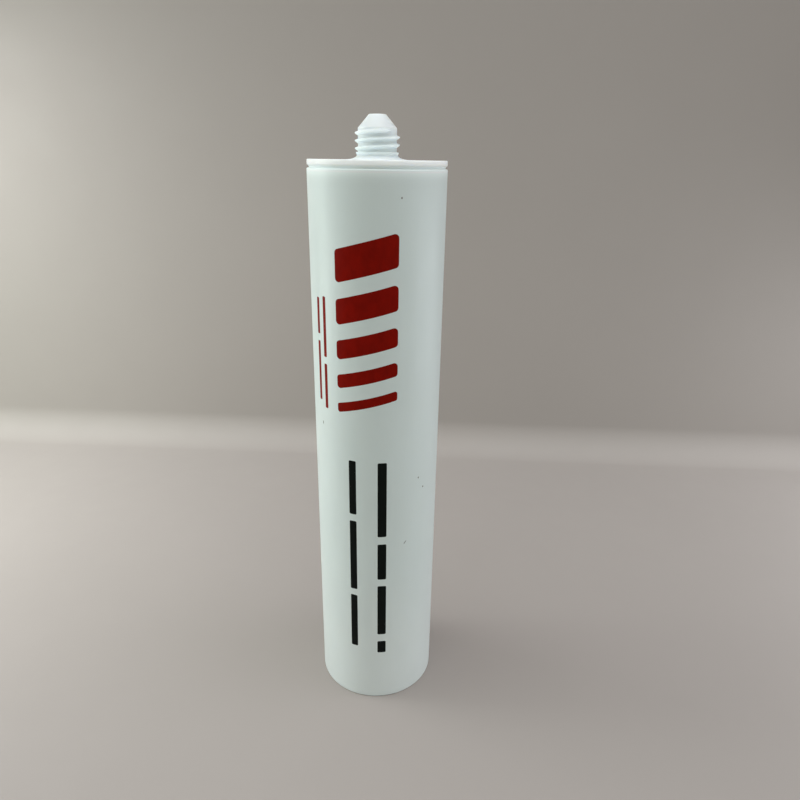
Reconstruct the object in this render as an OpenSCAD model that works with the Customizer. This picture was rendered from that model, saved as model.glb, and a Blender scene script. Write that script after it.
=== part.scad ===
/* [Barrel] */
// Outside diameter of the barrel
barrel_od = 49; // [44:0.5:54]
// Height from the rear rim to the top of the end disc
body_h = 219; // [150:0.5:240]
// Thickness of the barrel's wall
wall = 1.4; // [1.2:0.1:1.8]
// Length of the slightly wider bore at the rear, which lets the piston in
lead_len = 8; // [5:0.5:8]
// How much wider that bore is than the barrel's own, on the radius
lead_step = 0.3; // [0.1:0.1:0.4]
// Rounding of the barrel's two outer rims
rim_round = 0.3; // [0.1:0.05:0.35]

/* [End disc] */
// Thickness of the disc's rim above the groove
disc_t = 1.9; // [1.7:0.1:3]
// How far the disc's side stands in from the barrel's side
disc_inset = 0.1; // [0:0.05:0.4]
// Rounding of the disc's top edge
disc_round = 0.4; // [0.1:0.05:0.6]
// Height of the groove under the disc
groove_h = 0.85; // [0.8:0.05:1.4]
// Depth of the groove under the disc
groove_depth = 0.8; // [0.6:0.1:1]
// Thickness of the closed end, from the disc's top to the inner face
end_wall = 3.2; // [3:0.1:4]

/* [Neck] */
// Diameter of the neck between the threads
core_d = 13.4; // [12.5:0.1:14]
// Diameter over the thread's crests
thread_d = 15.5; // [14.6:0.1:16.4]
// Pitch of the right-hand thread
thread_pitch = 2.46; // [2.3:0.02:2.5]
// Number of turns of the thread
thread_turns = 2.86; // [2:0.02:2.9]
// Height of the thread's upper end above the disc
thread_top = 9.56; // [9.4:0.02:9.6]
// Diameter of the low flare where the neck meets the disc
flare_d = 23.6; // [20:0.2:26]
// Height of that flare
flare_h = 1.45; // [1:0.05:1.8]
// Diameter of the collar at the foot of the thread
collar_d = 14.8; // [14.6:0.1:16]
// Height of the neck's straight part
neck_h = 10.1; // [10.1:0.1:11]
// Height of the closed tip above the disc
tip_h = 14.4; // [14.2:0.05:17]
// Diameter of the flat on the tip
tip_d = 5.7; // [4.4:0.1:6]
// Diameter of the bore inside the neck
neck_bore_d = 10.4; // [9:0.1:10.8]
// Thickness of the closed tip
tip_wall = 1.35; // [1:0.05:2]

/* [Piston] */
// Distance from the rear rim to the piston's rear edge
piston_inset = 12.8; // [10:0.2:16]
// Height of the piston
piston_h = 18; // [16:0.5:22]
// Running clearance between the piston's lips and the bore, on the radius
piston_gap = 0.05; // [0.02:0.01:0.1]
// Thickness of the piston's skirt and crown
piston_skin = 1.5; // [1.2:0.1:1.8]
// Number of stiffening ribs behind the crown
rib_count = 8; // [6:1:12]
// Depth of the ribs behind the crown
rib_h = 6; // [4:0.5:8]
// Thickness of each rib
rib_t = 1; // [0.8:0.1:1.4]
// Diameter of the hub where the ribs meet
hub_d = 10; // [8:0.5:14]

/* [Sealant] */
// Gap between the sealant and the piston's front
sealant_gap = 0.1; // [0.05:0.05:0.4]

/* [Hidden] */
$fn = 96;

barrel_r = barrel_od / 2;
bore_r = barrel_r - wall;
lead_r = bore_r + lead_step;
rim_bevel = 0.25;
lead_ramp = 1;
disc_r = barrel_r - disc_inset;
groove_r = barrel_r - groove_depth;
groove_top = body_h - disc_t;
groove_foot = groove_top - groove_h;
end_in = body_h - end_wall;
core_r = core_d / 2;
crest_r = thread_d / 2;
waist_r = collar_d / 2 - 0.25;
neck_bore_r = neck_bore_d / 2;
piston_r = bore_r - piston_gap;
crown_z = piston_inset + piston_h;
lip_z = crown_z - 4.6;
rib_z = crown_z - piston_skin - rib_h;

// Points along an arc in the profile plane
function arc(c, r, a0, a1, n = 4) =
    [for (i = [0:n]) let (a = a0 + (a1 - a0) * i / n) c + r * [cos(a), sin(a)]];

// Half section of the barrel, its end disc and its neck: outside first, then inside
barrel_profile = concat(
    // rear rim
    [[lead_r + rim_bevel, 0]],
    arc([barrel_r - rim_round, rim_round], rim_round, -90, 0),
    // front rim, and the groove with a sloping roof
    arc([barrel_r - rim_round, groove_foot - rim_round], rim_round, 0, 90),
    [[groove_r, groove_foot],
     [groove_r, groove_top - groove_h * 0.55],
     [groove_r + (disc_r - groove_r) * 0.4, groove_top - groove_h * 0.15],
     [disc_r, groove_top + 0.2]],
    // end disc
    arc([disc_r - disc_round, body_h - disc_round], disc_round, 0, 90),
    // flare at the foot of the neck
    [for (i = [0:8]) let (a = 90 * i / 8)
        [flare_d / 2 - (flare_d / 2 - waist_r) * sin(a), body_h + flare_h * (1 - cos(a))]],
    // collar with a nearly flat ledge
    [[collar_d / 2, body_h + 2.1],
     [collar_d / 2, body_h + 2.4],
     [core_r, body_h + 2.55],
     // straight part and closed tip
     [core_r, body_h + neck_h]],
    arc([tip_d / 2 - 0.1, body_h + tip_h - 0.4], 0.4, 40, 90, 3),
    [[0, body_h + tip_h],
     // inside of the neck
     [0, body_h + tip_h - tip_wall],
     [1.6, body_h + tip_h - tip_wall],
     [neck_bore_r, body_h + neck_h - 0.7],
     [neck_bore_r, end_in + 0.8],
     [neck_bore_r + 0.8, end_in],
     // inner face of the closed end, and the bore
     [bore_r - 0.3, end_in],
     [bore_r, end_in - 0.3],
     [bore_r, rim_bevel + lead_len + lead_ramp],
     [lead_r, rim_bevel + lead_len],
     [lead_r, rim_bevel]]
);

// One section of the thread's ridge, shrunk by f towards its buried foot
function ridge(a, z, f) =
    let (r0 = core_r - 0.5, h = crest_r - core_r + 0.5)
    [for (p = [[0, -1.33], [h, -0.3], [h, 0.02], [0, 0.65]])
        let (r = r0 + p[0] * f, y = z + p[1] * (0.35 + 0.65 * f)) [r * cos(a), r * sin(a), y]];

// Right-hand thread whose ridge grows out of the neck and sinks back into it
module thread() {
    steps = ceil(thread_turns * 48);
    turn = thread_turns * 360;
    a1 = 314;
    points = [for (i = [0:steps])
        let (u = i / steps * turn,
             f = min(1, 0.3 + u / 60, 0.3 + (turn - u) / 26))
        each ridge(a1 - turn + u, body_h + thread_top - thread_pitch * (turn - u) / 360, f)];
    faces = concat(
        [[0, 1, 2], [0, 2, 3]],
        [for (i = [0:steps - 1], k = [0:3])
            let (p = 4 * i + k, q = 4 * i + (k + 1) % 4) each [[p, p + 4, q + 4], [p, q + 4, q]]],
        [[4 * steps, 4 * steps + 2, 4 * steps + 1], [4 * steps, 4 * steps + 3, 4 * steps + 2]]);
    polyhedron(points, faces, convexity = 8);
}

// Barrel, closed end and threaded neck in one moulding
module barrel() {
    color([0.86, 0.89, 0.88]) union() {
        rotate_extrude() polygon(barrel_profile);
        thread();
    }
}

// Front of the piston, from its lip to the axis, raised by g
function crown(g) = [
    [21.6 / 23.05 * piston_r + g, lip_z + 0.2 + g],
    [21.2 / 23.05 * piston_r + g, lip_z + 0.9 + g],
    [20.5 / 23.05 * piston_r + g * 0.8, lip_z + 2.3 + g],
    [18.6 / 23.05 * piston_r + g * 0.5, lip_z + 3.9 + g],
    [16.8 / 23.05 * piston_r + g * 0.2, crown_z - 0.1 + g],
    [15 / 23.05 * piston_r, crown_z + g],
    [0, crown_z + g]];

// Piston: two sealing lips, a raised crown, and ribs and a hub behind it
module piston() {
    z0 = piston_inset;
    color([0.93, 0.93, 0.91]) union() {
        rotate_extrude() polygon(concat(
            [[piston_r - 1.6, z0], [piston_r - 0.4, z0], [piston_r, z0 + 0.6], [piston_r, z0 + 2.2],
             [piston_r - 0.5, z0 + 3], [piston_r - 0.5, lip_z - 2.6],
             [piston_r, lip_z - 1.8], [piston_r, lip_z - 0.4], [piston_r - 0.4, lip_z]],
            crown(0),
            [[0, crown_z - piston_skin],
             [14.6 / 23.05 * piston_r, crown_z - piston_skin],
             [17.6 / 23.05 * piston_r, lip_z + 2.6],
             [19.4 / 23.05 * piston_r, lip_z + 1.1],
             [piston_r - 0.5 - piston_skin - 1, lip_z - 0.8],
             [piston_r - 0.5 - piston_skin, lip_z - 3.4],
             [piston_r - 0.5 - piston_skin, z0 + 1]]));
        // hub
        translate([0, 0, rib_z - 0.5]) difference() {
            cylinder(d = hub_d, h = rib_h + 0.5 + piston_skin * 0.5);
            translate([0, 0, -1]) cylinder(d = hub_d - 2.8, h = rib_h + 1.5);
        }
        // ribs
        for (i = [0:rib_count - 1]) rotate([0, 0, i * 360 / rib_count])
            rotate([90, 0, 0]) translate([0, 0, -rib_t / 2]) linear_extrude(rib_t)
                polygon([[hub_d / 2 - 0.7, rib_z],
                         [19.4 / 23.05 * piston_r, rib_z],
                         [piston_r - 1.2 - piston_skin * 0.5, rib_z - 1.5],
                         [piston_r - 1.2 - piston_skin * 0.5, lip_z - 3],
                         [19.9 / 23.05 * piston_r, lip_z + 0.9],
                         [18 / 23.05 * piston_r, lip_z + 3],
                         [14.7 / 23.05 * piston_r, crown_z - piston_skin * 0.5],
                         [hub_d / 2 - 0.7, crown_z - piston_skin * 0.5]]);
    }
}

// Sealant: fills the barrel ahead of the piston, and the neck
module sealant() {
    g = sealant_gap;
    color([0.88, 0.88, 0.86]) rotate_extrude() polygon(concat(
        [[0, crown_z + g]],
        [for (i = [5:-1:0]) crown(g)[i]],
        [[bore_r - 0.05, lip_z + 0.2 + g],
         [bore_r - 0.05, end_in - 0.35],
         [bore_r - 0.35, end_in - 0.05],
         [neck_bore_r + 0.77, end_in - 0.05],
         [neck_bore_r - 0.05, end_in + 0.77],
         [neck_bore_r - 0.05, body_h + neck_h - 0.75],
         [1.55, body_h + tip_h - tip_wall - 0.06],
         [0, body_h + tip_h - tip_wall - 0.06]]));
}

barrel();
piston();
sealant();
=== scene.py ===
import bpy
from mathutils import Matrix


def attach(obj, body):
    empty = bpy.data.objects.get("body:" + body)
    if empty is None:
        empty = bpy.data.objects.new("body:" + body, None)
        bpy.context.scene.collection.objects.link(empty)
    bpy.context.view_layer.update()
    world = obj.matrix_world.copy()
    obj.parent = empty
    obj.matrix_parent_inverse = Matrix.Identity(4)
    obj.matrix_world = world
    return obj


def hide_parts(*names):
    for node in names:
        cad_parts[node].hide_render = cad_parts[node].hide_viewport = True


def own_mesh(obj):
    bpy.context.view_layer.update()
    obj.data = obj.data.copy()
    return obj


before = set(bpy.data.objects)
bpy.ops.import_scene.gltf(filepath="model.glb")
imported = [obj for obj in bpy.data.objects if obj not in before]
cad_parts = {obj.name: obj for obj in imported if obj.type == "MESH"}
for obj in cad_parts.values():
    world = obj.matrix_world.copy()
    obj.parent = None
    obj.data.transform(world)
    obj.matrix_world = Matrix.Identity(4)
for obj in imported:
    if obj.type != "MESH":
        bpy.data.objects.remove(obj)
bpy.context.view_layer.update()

import math

import bmesh
import bpy
import numpy as np
from mathutils import Matrix, Vector
from mathutils.geometry import delaunay_2d_cdt

MM = 0.001
N = 192                    # columns round the barrel
STEP = 2 * math.pi / N
R = 24.5                   # barrel, outside radius in mm
BODY = 219.0               # top of the end disc
END_IN = BODY - 3.2        # inner face of the closed end
CROWN = 30.8               # front of the piston
scene = bpy.context.scene


# ---------------------------------------------------------------- camera
# Where the camera stands and how it is turned, in mm and degrees
CAM_BACK, CAM_UP = 230.5, 218.8
PITCH, ROLL, YAW = 21.14, 0.86, 2.26
FOCAL_PX = 618.7           # focal length in pixels of an 800 pixel frame


def make_camera():
    th, ro, ya = (math.radians(v) for v in (PITCH, ROLL, YAW))
    fwd = Vector((math.sin(ya) * math.cos(th), math.cos(ya) * math.cos(th), -math.sin(th)))
    rt = fwd.cross(Vector((0, 0, 1))).normalized()
    up = rt.cross(fwd)
    r2 = math.cos(ro) * rt + math.sin(ro) * up
    u2 = -math.sin(ro) * rt + math.cos(ro) * up
    data = bpy.data.cameras.new("camera")
    data.sensor_fit = "AUTO"
    data.sensor_width = 36.0
    data.lens = FOCAL_PX * 36.0 / 800.0
    data.clip_start, data.clip_end = 0.01, 30.0
    cam = bpy.data.objects.new("camera", data)
    m = Matrix((r2, u2, -fwd)).transposed().to_4x4()
    m.translation = Vector((0, -CAM_BACK, CAM_UP)) * MM
    cam.matrix_world = m
    scene.collection.objects.link(cam)
    scene.camera = cam


make_camera()


# ---------------------------------------------------------------- node helpers
def new_material(name):
    m = bpy.data.materials.new(name)
    m.use_nodes = True
    nt = m.node_tree
    bsdf = next(n for n in nt.nodes if n.type == "BSDF_PRINCIPLED")
    return m, nt, bsdf


def coords(nt, scale):
    """Object coordinates, stretched by scale along each axis."""
    tc = nt.nodes.new("ShaderNodeTexCoord")
    mp = nt.nodes.new("ShaderNodeMapping")
    mp.inputs["Scale"].default_value = scale
    nt.links.new(tc.outputs["Object"], mp.inputs["Vector"])
    return mp.outputs["Vector"]


def noise(nt, vec, scale, detail=2.0, rough=0.5):
    n = nt.nodes.new("ShaderNodeTexNoise")
    n.inputs["Scale"].default_value = scale
    n.inputs["Detail"].default_value = detail
    n.inputs["Roughness"].default_value = rough
    nt.links.new(vec, n.inputs["Vector"])
    return n.outputs["Fac"]


def ramp(nt, fac, stops):
    r = nt.nodes.new("ShaderNodeValToRGB")
    e = r.color_ramp.elements
    e[0].position, e[0].color = stops[0][0], (*stops[0][1], 1.0)
    e[1].position, e[1].color = stops[-1][0], (*stops[-1][1], 1.0)
    for pos, col in stops[1:-1]:
        e.new(pos).color = (*col, 1.0)
    nt.links.new(fac, r.inputs["Fac"])
    return r.outputs["Color"]


def spread(nt, fac, lo, hi, a=0.3, b=0.7):
    m = nt.nodes.new("ShaderNodeMapRange")
    m.inputs["From Min"].default_value = a
    m.inputs["From Max"].default_value = b
    m.inputs["To Min"].default_value = lo
    m.inputs["To Max"].default_value = hi
    nt.links.new(fac, m.inputs["Value"])
    return m.outputs["Result"]


def multiply(nt, a, b):
    m = nt.nodes.new("ShaderNodeMix")
    m.data_type = "RGBA"
    m.blend_type = "MULTIPLY"
    m.inputs[0].default_value = 1.0
    nt.links.new(a, m.inputs[6])
    nt.links.new(b, m.inputs[7])
    return m.outputs[2]


def height_of(nt):
    """Height above the rear rim, in metres."""
    tc = nt.nodes.new("ShaderNodeTexCoord")
    s = nt.nodes.new("ShaderNodeSeparateXYZ")
    nt.links.new(tc.outputs["Object"], s.inputs["Vector"])
    return s.outputs["Z"]


def bump(nt, height, strength, distance, after=None):
    b = nt.nodes.new("ShaderNodeBump")
    b.inputs["Strength"].default_value = strength
    b.inputs["Distance"].default_value = distance
    nt.links.new(height, b.inputs["Height"])
    if after is not None:
        nt.links.new(after, b.inputs["Normal"])
    return b.outputs["Normal"]


# ---------------------------------------------------------------- materials
def plastic(name, tone, rough=(0.34, 0.46), peel=0.25, drawn=0.2, milky=0.25, end=None):
    """Moulded polyethylene: a faint cloudiness, a satin gloss that varies, fine orange peel and faint lines along it.
    A thin wall lets light through to the filling and looks greyer than the thick end and the neck, whose tones are end;
    these lighter end tones are also painted light, for the glow through the thick plastic and the light falling from
    above. With end, a painted glow also lightens the top of the wall under the rim, and the lowest 70 mm are painted
    lighter towards the rim."""
    m, nt, b = new_material(name)
    b.inputs["Subsurface Weight"].default_value = milky
    cloud = noise(nt, coords(nt, (1, 1, 0.5)), 55.0, 3.0, 0.55)
    if end:
        # 0 at 14 mm below the disc's top, 1 at 6 mm above it; foot is 0 at the rim and 1 at 70 mm
        depth = spread(nt, height_of(nt), 0.0, 1.0, (BODY - 14.0) * MM, (BODY + 6.0) * MM)
        # painted glow: from about 4.5 mm under the rim the wall's tone is lifted step by step, up to a third lighter
        # just under it, standing in for light glowing through from the thick end
        lift = lambda k: tuple(min(c * k, 0.985) for c in tone)
        body = ramp(nt, depth, [
            (0.0, tone), (0.33, tone), (0.40, lift(1.03)), (0.44, lift(1.08)), (0.48, lift(1.16)), (0.50, lift(1.22)),
            (0.52, lift(1.33)), (0.54, end[0]), (0.69, end[0]), (0.8, end[1]),
        ])
        glow = ramp(nt, depth, [(0.53, (0, 0, 0)), (0.56, (0.3, 0.3, 0.3)), (0.605, (0.4, 0.4, 0.4)), (0.625, (1, 1, 1))])
        nt.links.new(spread(nt, glow, milky, 1.0, 0.0, 1.0), b.inputs["Subsurface Weight"])
        nt.links.new(spread(nt, glow, 0.0022, 0.005, 0.0, 1.0), b.inputs["Subsurface Scale"])
        shade = ramp(nt, cloud, [(0.3, (0.965, 0.965, 0.965)), (0.7, (1.0, 1.0, 1.0))])
        # painted light: the barrel's tone is up to 6 % lighter towards the rear rim and fades out by 70 mm up, for the
        # brighter light on its lower part
        foot = spread(nt, height_of(nt), 0.0, 1.0, 0.0, 0.07)
        body = multiply(nt, body, ramp(nt, foot, [(0.0, (1.06, 1.025, 1.035)), (0.4, (1.045, 1.02, 1.025)), (1.0, (1.0, 1.0, 1.0))]))
        nt.links.new(multiply(nt, body, shade), b.inputs["Base Color"])
    else:
        nt.links.new(ramp(nt, cloud, [(0.3, tuple(c * 0.965 for c in tone)), (0.7, tone)]), b.inputs["Base Color"])
    worn = noise(nt, coords(nt, (1, 1, 0.35)), 140.0, 4.0, 0.6)
    nt.links.new(spread(nt, worn, *rough), b.inputs["Roughness"])
    fine = noise(nt, coords(nt, (1, 1, 1)), 1500.0, 2.0, 0.5)
    n1 = bump(nt, fine, peel, 0.00006)
    if drawn:
        lines = noise(nt, coords(nt, (1, 1, 0.015)), 420.0, 2.0, 0.5)
        n1 = bump(nt, lines, drawn, 0.00008, n1)
    nt.links.new(n1, b.inputs["Normal"])
    b.inputs["IOR"].default_value = 1.51
    b.inputs["Subsurface Radius"].default_value = (1.0, 0.95, 0.85)
    b.inputs["Subsurface Scale"].default_value = 0.0022
    return m


def ink(name, tone, rough=(0.3, 0.42), spots=0.06, gloss=0.2):
    """Screen-printed ink: a thin even film whose depth of colour and gloss vary a little."""
    m, nt, b = new_material(name)
    film = noise(nt, coords(nt, (1, 1, 0.6)), 320.0, 4.0, 0.65)
    lo = tuple(c * (1 - spots * 2) for c in tone)
    hi = tuple(c * (1 + spots * 2) for c in tone)
    nt.links.new(ramp(nt, film, [(0.32, lo), (0.68, hi)]), b.inputs["Base Color"])
    sheen = noise(nt, coords(nt, (1, 1, 1)), 220.0, 3.0, 0.6)
    nt.links.new(spread(nt, sheen, *rough), b.inputs["Roughness"])
    fine = noise(nt, coords(nt, (1, 1, 1)), 1700.0, 2.0, 0.5)
    nt.links.new(bump(nt, fine, 0.2, 0.00005), b.inputs["Normal"])
    b.inputs["IOR"].default_value = 1.48
    b.inputs["Specular IOR Level"].default_value = gloss
    return m


def paste(name, tone):
    """Thick sealant: smooth, slightly glossy, with soft swirls where it was filled."""
    m, nt, b = new_material(name)
    swirl = noise(nt, coords(nt, (1, 1, 1)), 70.0, 4.0, 0.6)
    lo = tuple(c * 0.95 for c in tone)
    nt.links.new(ramp(nt, swirl, [(0.3, lo), (0.7, tone)]), b.inputs["Base Color"])
    nt.links.new(spread(nt, swirl, 0.22, 0.34), b.inputs["Roughness"])
    nt.links.new(bump(nt, swirl, 0.35, 0.0004), b.inputs["Normal"])
    b.inputs["IOR"].default_value = 1.41
    b.inputs["Subsurface Weight"].default_value = 0.3
    b.inputs["Subsurface Radius"].default_value = (1.0, 0.95, 0.9)
    b.inputs["Subsurface Scale"].default_value = 0.002
    return m


# the end tones of the rim, disc and neck are partly painted light: lighter than the wall for the glow through the thick
# plastic and the light from above
mat_barrel = plastic("barrel_plastic", (0.706, 0.782, 0.772), end=((0.895, 0.985, 0.985), (0.865, 0.975, 0.985)))
mat_piston = plastic("piston_plastic", (0.83, 0.83, 0.80), rough=(0.4, 0.52), drawn=0.0, milky=0.2)
mat_red = ink("ink_red", (0.21, 0.0042, 0.0010), gloss=0.06)
mat_black = ink("ink_black", (0.004, 0.006, 0.005), spots=0.1, gloss=0.08)
mat_speck = ink("speck_dark", (0.16, 0.15, 0.12), rough=(0.6, 0.75))
mat_paste = paste("sealant_paste", (0.80, 0.80, 0.78))


# ---------------------------------------------------------------- profiles
def rounded(corners):
    """Turns corners (r, z, radius, segments) into points with their outward normals: (r, z, nr, nz)."""
    out = []
    n = len(corners)
    for i, (r, z, rad, seg) in enumerate(corners):
        p = np.array((r, z), float)
        a = np.array(corners[i - 1][:2], float) if i > 0 else None
        c = np.array(corners[i + 1][:2], float) if i < n - 1 else None
        if a is None or c is None:
            t = (c - p) if a is None else (p - a)
            t /= np.linalg.norm(t)
            out.append((r, z, t[1], -t[0]))
            continue
        t0 = (p - a) / np.linalg.norm(p - a)
        t1 = (c - p) / np.linalg.norm(c - p)
        turn = math.acos(max(-1, min(1, float(t0 @ t1))))
        if turn < 1e-6:
            out.append((r, z, t0[1], -t0[0]))
            continue
        cross = t0[0] * t1[1] - t0[1] * t1[0]
        reach = rad * math.tan(turn / 2)
        start = p - t0 * reach
        n0 = np.array((t0[1], -t0[0]))
        side = 1 if cross > 0 else -1
        centre = start - n0 * rad * side
        a0 = math.atan2(n0[1] * side, n0[0] * side)
        for k in range(seg + 1):
            ang = a0 + side * turn * k / seg
            d = np.array((math.cos(ang), math.sin(ang)))
            q = centre + d * rad
            nn = d * side
            out.append((q[0], q[1], nn[0], nn[1]))
    return out


class Builder:
    """Collects vertices, normals and faces of one mesh, in mm."""

    def __init__(self):
        self.v, self.n, self.f, self.m = [], [], [], []

    def vert(self, p, nrm=None):
        self.v.append(tuple(p))
        self.n.append(nrm)
        return len(self.v) - 1

    def face(self, idx, mat=0):
        self.f.append(tuple(idx))
        self.m.append(mat)

    def ring(self, r, z, nr, nz, count=N):
        if r < 1e-6:
            return [self.vert((0, 0, z), (0, 0, 1.0 if nz > 0 else -1.0))]
        out = []
        for j in range(count):
            a = -math.pi / 2 + j * 2 * math.pi / count
            c, s = math.cos(a), math.sin(a)
            out.append(self.vert((r * c, r * s, z), (nr * c, nr * s, nz)))
        return out

    def band(self, a, b, skip=None, mat=0):
        """Faces between ring a and the next ring b along the profile."""
        count = max(len(a), len(b))
        for j in range(count):
            if skip and skip(j):
                continue
            k = (j + 1) % count
            if len(a) == 1:
                self.face((a[0], b[k], b[j]), mat)
            elif len(b) == 1:
                self.face((a[j], a[k], b[0]), mat)
            else:
                self.face((a[j], a[k], b[k], b[j]), mat)

    def build(self, name, mats):
        me = bpy.data.meshes.new(name)
        me.from_pydata([(x * MM, y * MM, z * MM) for x, y, z in self.v], [], self.f)
        for m in mats:
            me.materials.append(m)
        me.polygons.foreach_set("material_index", self.m)
        me.polygons.foreach_set("use_smooth", [True] * len(self.f))
        me.update()
        own = [v.normal.copy() for v in me.vertices]
        nrm = [Vector(n).normalized() if n is not None else own[i] for i, n in enumerate(self.n)]
        me.normals_split_custom_set_from_vertices(nrm)
        me.validate()
        ob = bpy.data.objects.new(name, me)
        scene.collection.objects.link(ob)
        return ob


# ---------------------------------------------------------------- print on the barrel
# Places are (arc, height): arc in mm round the barrel from its front, right is positive.
def rounded_box(u0, u1, z0, z1, rad, seg=5):
    """Outline of a rounded rectangle."""
    pts = []
    for cx, cy, a0 in ((u1 - rad, z0 + rad, -90), (u1 - rad, z1 - rad, 0), (u0 + rad, z1 - rad, 90), (u0 + rad, z0 + rad, 180)):
        for k in range(seg + 1):
            a = math.radians(a0 + 90 * k / seg)
            pts.append((cx + rad * math.cos(a), cy + rad * math.sin(a)))
    return pts


def rounded_poly(corners, rad, seg=5):
    """Outline of a polygon, counter-clockwise, with its corners rounded."""
    pts = []
    n = len(corners)
    for i in range(n):
        p, a, c = (np.array(corners[k % n], float) for k in (i, i - 1, i + 1))
        t0, t1 = (p - a) / np.linalg.norm(p - a), (c - p) / np.linalg.norm(c - p)
        turn = math.acos(float(t0 @ t1))
        start = p - t0 * rad * math.tan(turn / 2)
        left = np.array((-t0[1], t0[0]))
        centre = start + left * rad
        a0 = math.atan2(-left[1], -left[0])
        for k in range(seg + 1):
            ang = a0 + turn * k / seg
            pts.append(tuple(centre + rad * np.array((math.cos(ang), math.sin(ang)))))
    return pts


RED, BLACK, SPECK = 1, 2, 3
shapes = []
# a column of slanted fields that grow thinner downwards
z1 = 197.0
for thick in (11.2, 9.0, 7.0, 5.2, 3.6):
    z0 = z1 - thick
    shapes.append((RED, rounded_poly([(-15.3, z0 - 6.0), (7.3, z0), (7.3, z1), (-15.3, z1 - 6.0)], min(1.4, thick * 0.24))))
    z1 = z0 - 5.6
# two thin lines beside it
for u, runs in ((-25.1, ((160.4, 173.6), (135.0, 157.8))), (-21.2, ((152.4, 174.4), (132.6, 149.8)))):
    for z0, z1 in runs:
        shapes.append((RED, rounded_box(u - 0.8, u + 0.8, z0, z1, 0.4, 3)))
# two columns of bars lower down
for u, w, runs in (
    (-9.6, 1.45, ((91.0, 114.0), (56.0, 88.0), (27.0, 53.0))),
    (1.9, 1.75, ((81.6, 113.8), (61.6, 78.2), (34.0, 58.4), (24.4, 30.4))),
):
    for z0, z1 in runs:
        shapes.append((BLACK, rounded_box(u - w, u + w, z0, z1, 0.5, 3)))


# small dark scuffs and specks: arc, height, half width, half height, turn in degrees
for u, z, a, b, turn in (
    (-24.1, 125.9, 0.22, 0.75, 5), (17.3, 104.7, 0.3, 0.35, 0), (20.0, 99.8, 0.3, 0.38, 20),
    (33.8, 74.2, 0.3, 0.35, 0), (11.4, 77.5, 0.16, 0.95, -38), (8.0, 207.7, 0.28, 0.32, 0),
):
    c, s = math.cos(math.radians(turn)), math.sin(math.radians(turn))
    pts = []
    for k in range(10):
        w = 1 + 0.16 * math.sin(3.1 * k + u)
        x, y = a * w * math.cos(k * math.pi / 5), b * w * math.sin(k * math.pi / 5)
        pts.append((u + x * c - y * s, z + x * s + y * c))
    shapes.append((SPECK, pts))


# ---------------------------------------------------------------- barrel, end disc and neck
CORE, CREST, LEAD = 6.7, 7.75, 2.46
TOP_ANGLE, TOP_Z, TURN = 314.0, 9.56, 2.86 * 360.0
WAIST, COLLAR, FLARE, FLARE_H = 7.15, 7.4, 11.8, 1.45
NECK_H, TIP_H, TIP_R = 10.1, 14.4, 2.93


def soft_min(a, b, k):
    h = min(1.0, max(0.0, 0.5 + 0.5 * (b - a) / k))
    return b + (a - b) * h - k * h * (1 - h)


def soft_max(a, b, k):
    return -soft_min(-a, -b, k)


def thread_radius(z, deg):
    """Radius of the thread's ridge at height z above the disc and at an angle in degrees."""
    low = CORE - 0.5
    best = low
    k = math.floor((TOP_ANGLE - deg) / 360.0)
    while True:
        u = deg + 360.0 * k - (TOP_ANGLE - TURN)
        if u < 0:
            break
        if u <= TURN:
            f = min(1.0, 0.3 + u / 60.0, 0.3 + (TURN - u) / 26.0)
            dz = (z - (TOP_Z - LEAD * (TURN - u) / 360.0)) / (0.35 + 0.65 * f)
            if -1.4 < dz < 0.7:
                g = soft_min((dz + 1.33) / 1.03, (0.65 - dz) / 0.63, 0.05)
                g = soft_min(g, 1.0, 0.07)
                best = max(best, low + (CREST - low) * f * max(0.0, g))
        k -= 1
    return best


def with_thread(base, z, deg):
    """Radius of the neck where its plain part has radius base."""
    t = thread_radius(z, deg)
    return soft_max(base, t, 0.1) if t > base - 0.3 else base


def threaded_ring(b, r, z, nr, nz):
    """A ring of the profile at height z above the disc, pushed out where the ridge passes it."""
    out = []
    for j in range(N):
        a = -math.pi / 2 + j * STEP
        c, s = math.cos(a), math.sin(a)
        q = with_thread(r, z, math.degrees(a) % 360.0)
        out.append(b.vert((q * c, q * s, BODY + z), (nr * c, nr * s, nz) if q == r else None))
    return out


def thread_band(b, low, high, z0, z1):
    """The threaded stretch between ring low at z0 and ring high at z1, in rows that climb with the thread."""
    marks = [-1.12, -1.02, -0.93, -0.8, -0.64, -0.48, -0.38, -0.31, -0.25, -0.15, -0.05, 0.0, 0.04, 0.1, 0.17, 0.25,
             0.33, 0.39, 0.45, 0.52, 0.64, 0.84, 1.04, 1.22]
    per = len(marks)
    turns = int((z1 - z0) / LEAD) + 3
    base = TOP_Z - LEAD * (TOP_ANGLE + 90.0) / 360.0     # height of the ridge in column 0, in one of its turns
    while base > z0 - LEAD:
        base -= LEAD
    near = 0.03
    grid = {}

    def at(i, j):
        i += per * (j // N)
        j %= N
        if (i, j) not in grid:
            z = base + LEAD * (i // per) + marks[i % per] + LEAD * j / N
            if z <= z0 + near:
                grid[i, j] = low[j]
            elif z >= z1 - near:
                grid[i, j] = high[j]
            else:
                a = -math.pi / 2 + j * STEP
                r = with_thread(CORE, z, math.degrees(a) % 360.0)
                grid[i, j] = b.vert((r * math.cos(a), r * math.sin(a), BODY + z))
        return grid[i, j]

    for j in range(N):
        for i in range(per * (turns + 1)):
            q = (at(i, j), at(i, j + 1), at(i + 1, j + 1), at(i + 1, j))
            q = [v for k, v in enumerate(q) if v != q[k - 1]]
            if len(q) > 2:
                b.face(q)


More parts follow.
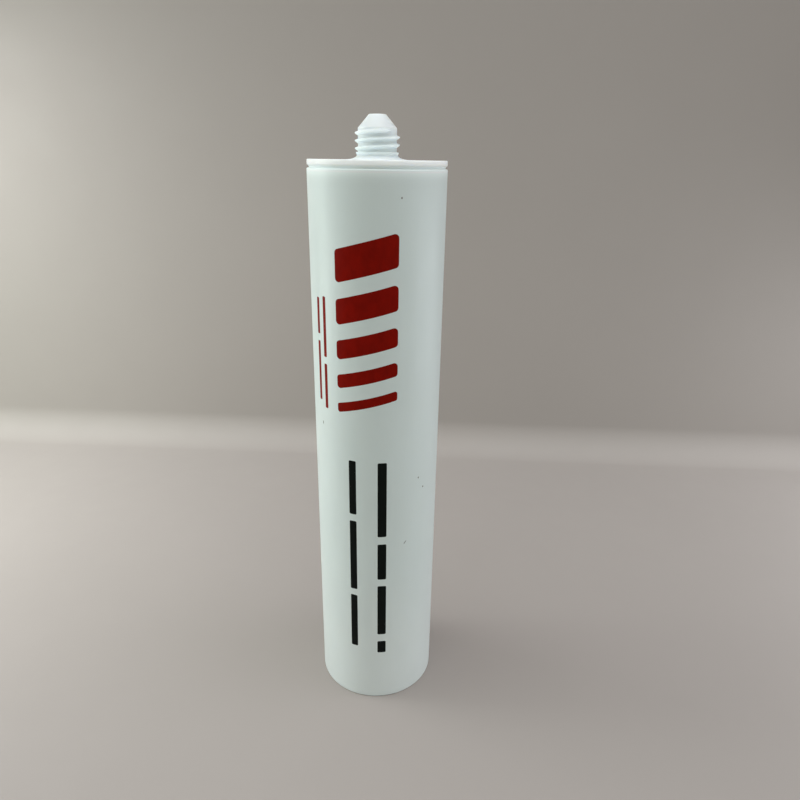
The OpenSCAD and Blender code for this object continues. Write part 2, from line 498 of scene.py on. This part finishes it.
def barrel():
    b = Builder()
    inner = [
        (0, BODY + 13.05, 0, 0), (1.6, BODY + 13.05, 0.25, 2), (5.2, BODY + 9.4, 0.6, 3), (5.2, END_IN + 0.8, 0.4, 3),
        (6.0, END_IN, 0.3, 3), (22.8, END_IN, 0.12, 2), (23.1, END_IN - 0.3, 0.12, 2), (23.1, 9.25, 0.5, 2), (23.4, 8.25, 0.5, 2),
        (23.4, 0.25, 0.08, 2), (23.65, 0.0, 0.1, 2), (24.5, 0.0, 0.5, 8), (24.5, 100.0, 0, 0),
    ]
    rings = []
    for r, z, nr, nz in rounded(inner)[:-1]:
        rings.append(b.ring(r, z, nr, nz))
    for a, c in zip(rings, rings[1:]):
        b.band(a, c)
    last = rings[-1]
    # straight wall: the front takes the print, cut into the mesh itself
    rows = [1.2, 4.0, 10.0] + [10.0 + 10.9 * k for k in range(1, 18)] + [203.0, 209.5, 214.0]
    lo_row, hi_row = 1, len(rows) - 2
    half = 84                                       # columns of print region on each side of the front
    wall = [b.ring(R, z, 1, 0) for z in rows]
    front = lambda j: j < half or j >= N - half
    b.band(last, wall[0])
    for i in range(len(rows) - 1):
        b.band(wall[i], wall[i + 1], skip=front if lo_row <= i < hi_row else None)
    cols = list(range(-half, half + 1))
    used = rows[lo_row:hi_row + 1]
    pts, where, edges, faces = [], {}, [], []
    for ci, j in enumerate(cols):
        for ri, z in enumerate(used):
            where[len(pts)] = wall[lo_row + ri][j % N]
            pts.append(Vector((j * STEP * R, z)))
    rr = len(used)
    for ci in range(len(cols)):
        for ri in range(rr):
            p = ci * rr + ri
            if ri + 1 < rr:
                edges.append((p, p + 1))
            if ci + 1 < len(cols):
                edges.append((p, p + rr))
    for mat, outline in shapes:
        faces.append(list(range(len(pts), len(pts) + len(outline))))
        pts.extend(Vector(q) for q in outline)
    vs, es, fs, ov, oe, of = delaunay_2d_cdt(pts, edges, faces, 3, 1e-5, True)
    ids = []
    for p, src in zip(vs, ov):
        grid = [k for k in src if k in where]
        if grid:
            ids.append(where[grid[0]])
            continue
        th = p.x / R
        cell = math.floor(th / STEP + 1e-9)
        off = th - (cell + 0.5) * STEP
        rad = R * math.cos(STEP / 2) / math.cos(off)      # stays on the flat between two columns
        x, y = rad * math.sin(th), -rad * math.cos(th)
        ids.append(b.vert((x, y, p.y), (math.sin(th), -math.cos(th), 0)))
    for f, src in zip(fs, of):
        turn = sum(vs[f[i - 1]].cross(vs[f[i]]) for i in range(len(f)))
        f = list(f) if turn > 0 else list(reversed(f))
        b.face([ids[k] for k in f], shapes[src[0]][0] if src else 0)
    # front rim, groove with its sloping roof, and disc
    outer = [
        (24.5, 200.0, 0, 0), (24.5, 216.25, 0.45, 7), (23.7, 216.25, 0.06, 2), (23.7, 216.63, 0.1, 2),
        (23.98, 216.97, 0.2, 2), (24.4, 217.3, 0.2, 4), (24.4, BODY, 0.4, 8), (FLARE, BODY, 0, 0),
    ]
    prev = wall[-1]
    for r, z, nr, nz in rounded(outer)[1:-1]:
        ring = b.ring(r, z, nr, nz)
        b.band(prev, ring)
        prev = ring
    for r in (23.0, 18.0, 13.5):
        ring = b.ring(r, BODY, 0, 1)
        b.band(prev, ring)
        prev = ring
    # flare
    for k in range(0, 17):
        a = math.radians(90 * k / 16)
        r, z = FLARE - (FLARE - WAIST) * math.sin(a), BODY + FLARE_H * (1 - math.cos(a))
        nr, nz = FLARE_H * math.sin(a), (FLARE - WAIST) * math.cos(a)
        s = math.hypot(nr, nz)
        ring = b.ring(r, z, nr / s, nz / s)
        b.band(prev, ring)
        prev = ring
    # collar at the foot of the thread
    foot = 0.0
    for r, z, nr, nz in rounded([
        (WAIST, 1.3, 0, 0), (WAIST, 1.6, 0.3, 3), (COLLAR, 2.1, 0.12, 2), (COLLAR, 2.4, 0.09, 3),
        (CORE, 2.55, 0.08, 2), (CORE, 2.8, 0, 0),
    ])[1:-1]:
        ring = threaded_ring(b, r, z, nr, nz)
        b.band(prev, ring)
        prev, foot = ring, z
    # threaded stretch, cone and tip
    cone = rounded([(CORE, 9.0, 0, 0), (CORE, NECK_H, 0.12, 3), (TIP_R, TIP_H, 0.5, 8), (0, TIP_H, 0, 0)])[1:]
    rings = [b.ring(r, BODY + z, nr, nz) for r, z, nr, nz in cone]
    thread_band(b, prev, rings[0], foot, cone[0][1])
    for a, c in zip(rings, rings[1:]):
        b.band(a, c)
    return b.build("barrel_moulding", [mat_barrel, mat_red, mat_black, mat_speck])


barrel_ob = barrel()
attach(barrel_ob, "cartridge")
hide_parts("barrel")


# ---------------------------------------------------------------- piston
def apply_modifiers(ob):
    dg = bpy.context.evaluated_depsgraph_get()
    me = bpy.data.meshes.new_from_object(ob.evaluated_get(dg), preserve_all_data_layers=True, depsgraph=dg)
    old = ob.data
    ob.modifiers.clear()
    ob.data = me
    bpy.data.meshes.remove(old)


def piston():
    up = CROWN - 28.0                                # heights below are written for a crown at 28
    b = Builder()
    prof = [
        (0, 26.5, 0, 0), (14.6, 26.5, 0.8, 3), (17.6, 26.0, 1.5, 3), (19.4, 24.5, 1.2, 3), (20.05, 22.6, 1.0, 3),
        (21.05, 20.0, 1.0, 3), (21.05, 11.0, 0.4, 2), (21.45, 10.0, 0.15, 2), (22.65, 10.0, 0.15, 2),
        (23.05, 10.6, 0.2, 2), (23.05, 12.2, 0.2, 2), (22.55, 13.0, 0.3, 2), (22.55, 20.8, 0.3, 2),
        (23.05, 21.6, 0.2, 2), (23.05, 23.0, 0.2, 2), (22.65, 23.4, 0.12, 2), (21.6, 23.6, 0.12, 2),
        (21.2, 24.3, 0.3, 2), (20.5, 25.7, 1.0, 3), (18.6, 27.3, 1.5, 3), (16.8, 27.9, 1.5, 3), (15.0, 28.0, 1.0, 2),
        (0, 28.0, 0, 0),
    ]
    rings = [b.ring(r, z + up, nr, nz, 144) for r, z, nr, nz in rounded(prof)]
    for a, c in zip(rings, rings[1:]):
        b.band(a, c)
    body = b.build("piston_moulding", [mat_piston])
    parts = []
    # hub
    h = Builder()
    prof = [(3.6, 26.9, 0, 0), (3.6, 20.0, 0.2, 3), (5.0, 20.0, 0.25, 3), (5.0, 26.9, 0, 0)]
    ringset = [h.ring(r, z + up, nr, nz, 64) for r, z, nr, nz in rounded(prof)]
    for a, c in zip(ringset, ringset[1:]):
        h.band(a, c)
    h.band(ringset[-1], ringset[0])
    parts.append(h.build("hub_tmp", [mat_piston]))
    # ribs, with rounded free edges
    for i in range(8):
        a = math.radians(45 * i)
        c, s = math.cos(a), math.sin(a)
        q = Builder()
        outline = [(4.3, 20.7), (4.3, 27.25), (14.7, 27.25), (18.0, 26.4), (19.9, 24.3), (21.1, 20.4), (21.1, 19.2), (19.4, 20.7)]
        sections = []
        for w, lift in ((-0.5, 0.22), (-0.42, 0.07), (-0.26, 0.0), (0.26, 0.0), (0.42, 0.07), (0.5, 0.22)):
            row = []
            for k, (r, z) in enumerate(outline):
                dz = lift if k in (0, 5, 6, 7) else 0.0
                row.append(q.vert((r * c - w * s, r * s + w * c, z + dz + up)))
            sections.append(row)
        n = len(outline)
        q.face(list(reversed(sections[0])))
        q.face(sections[-1])
        for r0, r1 in zip(sections, sections[1:]):
            for k in range(n):
                q.face((r0[k], r0[(k + 1) % n], r1[(k + 1) % n], r1[k]))
        parts.append(q.build("rib_tmp_%d" % i, [mat_piston]))
    for ob in parts:
        bm = bmesh.new()
        bm.from_mesh(ob.data)
        bmesh.ops.recalc_face_normals(bm, faces=bm.faces)
        bm.to_mesh(ob.data)
        bm.free()
        mod = body.modifiers.new("join_" + ob.name, "BOOLEAN")
        mod.operation = "UNION"
        mod.solver = "EXACT"
        mod.object = ob
    apply_modifiers(body)
    for ob in parts:
        me = ob.data
        bpy.data.objects.remove(ob)
        bpy.data.meshes.remove(me)
    me = body.data
    for p in me.polygons:
        p.use_smooth = True
    me.set_sharp_from_angle(angle=math.radians(35))
    return body


piston_ob = piston()
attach(piston_ob, "piston")
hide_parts("piston")


# ---------------------------------------------------------------- sealant
def revolve(name, prof, mat, count=96):
    b = Builder()
    rings = [b.ring(r, z, nr, nz, count) for r, z, nr, nz in rounded(prof)]
    for a, c in zip(rings, rings[1:]):
        b.band(a, c)
    return b.build(name, [mat])


def column():
    k = CROWN - 28.0
    low = [
        (0, 28.1 + k, 0, 0), (15.0, 28.1 + k, 1.0, 2), (16.82, 28.0 + k, 1.5, 3), (18.65, 27.4 + k, 1.5, 3), (20.6, 25.8 + k, 1.0, 3),
        (21.3, 24.4 + k, 0.3, 2), (21.7, 23.7 + k, 0.1, 2), (23.04, 23.7 + k, 0.1, 2),
    ]
    wall = [(23.04, 32.0 + 15.2 * i, 0, 1) for i in range(0, 12)]
    high = [(23.04, END_IN - 0.35, 0.1, 2), (22.75, END_IN - 0.06, 0.1, 2), (0, END_IN - 0.06, 0, 0)]
    return revolve("sealant_column", low + wall + high, mat_paste)


column_ob = column()
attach(column_ob, "cartridge")
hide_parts("sealant")
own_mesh(column_ob)

neck_ob = revolve("sealant_in_neck", [
    (0, END_IN + 0.02, 0, 0), (5.9, END_IN + 0.02, 0.1, 2), (5.15, END_IN + 0.8, 0.3, 3), (5.15, BODY + 9.35, 0.5, 3),
    (1.55, BODY + 12.99, 0.2, 2), (0, BODY + 12.99, 0, 0),
], mat_paste, 64)
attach(neck_ob, "cartridge")
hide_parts("sealant")


# ---------------------------------------------------------------- floor and backdrop
# where the sheet starts to rise behind the part, and how round the bend is; it stands far enough back to look at the part from there
FOLD_Y, FOLD_R = 210.0, 23.5
SKEW = 0.09                        # the bend comes a little nearer to the right


def backdrop():
    """One sheet: flat under the part, curved up behind it."""
    m, nt, b = new_material("floor_matte")
    v = coords(nt, (1, 1, 1))
    soft = noise(nt, v, 3.5, 3.0, 0.55)
    nt.links.new(ramp(nt, soft, [(0.3, (0.334, 0.299, 0.280)), (0.7, (0.352, 0.315, 0.295))]), b.inputs["Base Color"])
    nt.links.new(spread(nt, noise(nt, v, 40.0), 0.6, 0.75), b.inputs["Roughness"])
    nt.links.new(bump(nt, noise(nt, v, 900.0, 2.0), 0.12, 0.0002), b.inputs["Normal"])
    b.inputs["Specular IOR Level"].default_value = 0.25
    bd = Builder()
    xs = [-3000 + 6000 * i / 24 for i in range(25)]
    prof = [(-3000, 0.0), (-600, 0.0), (0, 0.0), (150, 0.0), (FOLD_Y, 0.0)]
    for k in range(1, 17):
        a = math.radians(90 * k / 16)
        prof.append((FOLD_Y + FOLD_R * math.sin(a), FOLD_R * (1 - math.cos(a))))
    prof.append((FOLD_Y + FOLD_R, 400.0))
    prof.append((FOLD_Y + FOLD_R, 2600.0))
    rows = []
    for y, z in prof:
        rows.append([bd.vert((x, y - SKEW * max(-750.0, min(750.0, x)) if y > 0 else y, z)) for x in xs])
    for r0, r1 in zip(rows, rows[1:]):
        for i in range(len(xs) - 1):
            bd.face((r0[i], r0[i + 1], r1[i + 1], r1[i]))
    return bd.build("floor", [m])


floor_ob = backdrop()


# ---------------------------------------------------------------- light
def area(name, loc, aim, size, power, colour):
    d = bpy.data.lights.new(name, "AREA")
    d.shape = "RECTANGLE"
    d.size, d.size_y = size
    d.energy = power
    d.color = colour
    o = bpy.data.objects.new(name, d)
    o.location = loc
    o.rotation_mode = "QUATERNION"
    o.rotation_quaternion = (Vector(aim) - Vector(loc)).to_track_quat("-Z", "Y")
    o.visible_camera = False
    scene.collection.objects.link(o)
    return o


LIGHTS = {
    "light_left": ((-0.55, -0.05, 0.45), (-0.2, 0.0, 0.0), (0.3, 0.3), 0.44, (0.85, 1.0, 0.94)),
    "light_left_wall": ((-0.42, 0.08, 0.18), (-0.25, 0.233, 0.16), (0.2, 0.3), 0.28, (0.78, 1.0, 0.79)),
    "light_left_floor": ((-0.40, 0.10, 0.30), (-0.28, 0.08, 0.0), (0.2, 0.2), 0.92, (0.942, 0.968, 1.0)),
    "light_left_low": ((-0.38, 0.0, 0.10), (-0.1, 0.0, 0.0), (0.15, 0.15), 0.2, (0.96, 1.0, 0.96)),
    "light_right_high": ((0.8, -0.05, 0.95), (0, 0, 0.1), (0.8, 0.8), 2.46, (0.891, 0.865, 1.0)),
    "light_right_low": ((0.38, 0.0, 0.10), (0.1, 0.0, 0.0), (0.33, 0.15), 0.31, (0.892, 0.948, 1.0)),
    "light_top": ((0.0, 0.0, 1.3), (0, 0, 0.1), (0.9, 0.9), 8.8, (0.935, 0.967, 1.0)),
}
for name, spec in LIGHTS.items():
    area(name, *spec)

world = bpy.data.worlds.new("room")
world.use_nodes = True
bg = next(n for n in world.node_tree.nodes if n.type == "BACKGROUND")
bg.inputs["Color"].default_value = (0.95, 1.0, 0.93, 1.0)
bg.inputs["Strength"].default_value = 0.58
scene.world = world
scene.view_settings.view_transform = "Standard"
scene.view_settings.look = "None"
